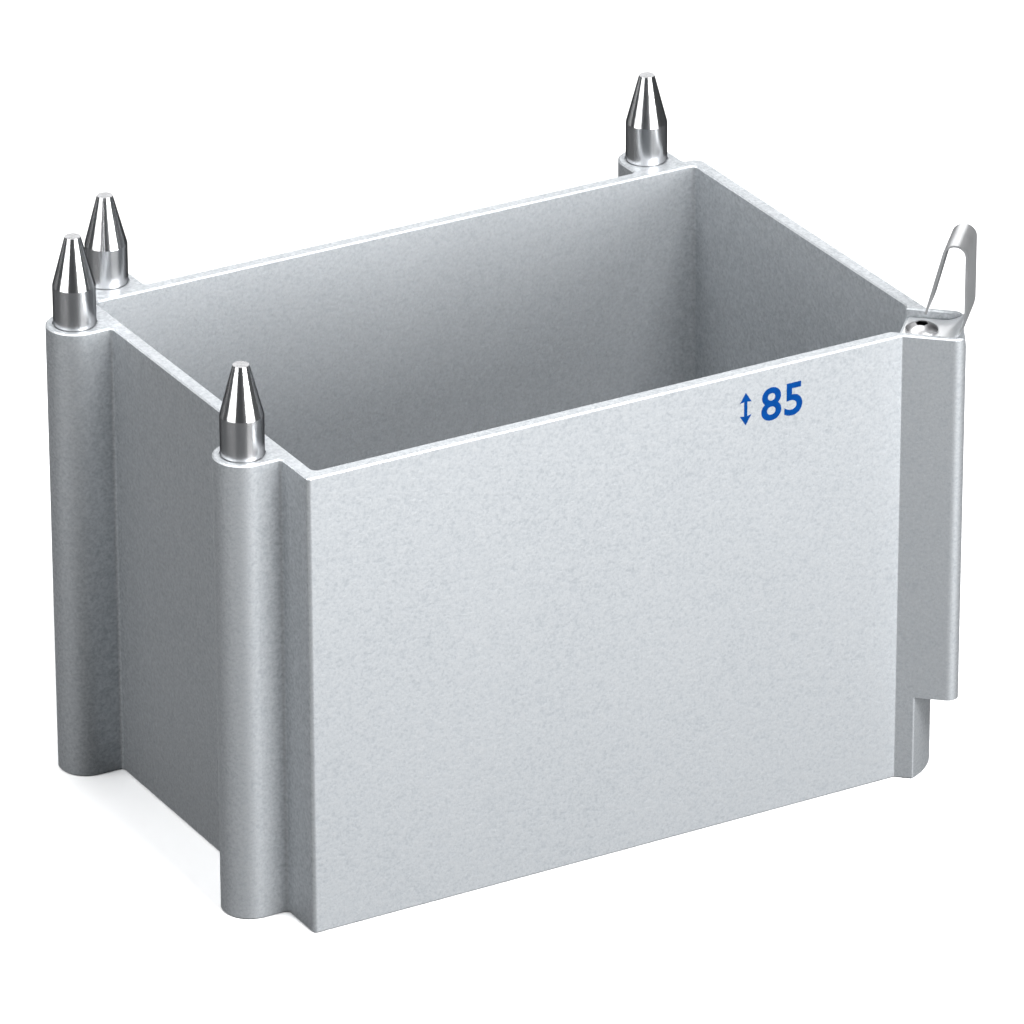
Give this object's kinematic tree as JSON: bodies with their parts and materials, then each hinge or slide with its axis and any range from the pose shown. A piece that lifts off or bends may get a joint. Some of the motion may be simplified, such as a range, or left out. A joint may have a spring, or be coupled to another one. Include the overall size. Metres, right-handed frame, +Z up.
{
  "type": "height adapter",
  "caption": "Open rectangular aluminium riser with pointed guide pins on two sides and a hairpin corner spring, which lifts a laboratory plate above its worktable location.",
  "frame": {"origin": "middle of the tube's outer walls, in the plane of the bottom rim", "axes": "+Z up along the guide pins, +X along the longer walls away from the side with two pins, +Y towards the rear wall that carries the other two pins"},
  "size_m": [0.1408, 0.1002, 0.1019],
  "materials": {
    "anodised_aluminium": "bead blasted and clear anodised",
    "polished_steel": "polished",
    "spring_steel": "satin",
    "screw_steel": "satin"
  },
  "bodies": {
    "root": {"adapter_body": "anodised_aluminium", "guide_pin_left_front": "polished_steel", "guide_pin_left_rear": "polished_steel", "guide_pin_rear_left": "polished_steel", "guide_pin_rear_right": "polished_steel", "corner_spring": "spring_steel", "spring_screw": "screw_steel"}
  },
  "joints": []
}
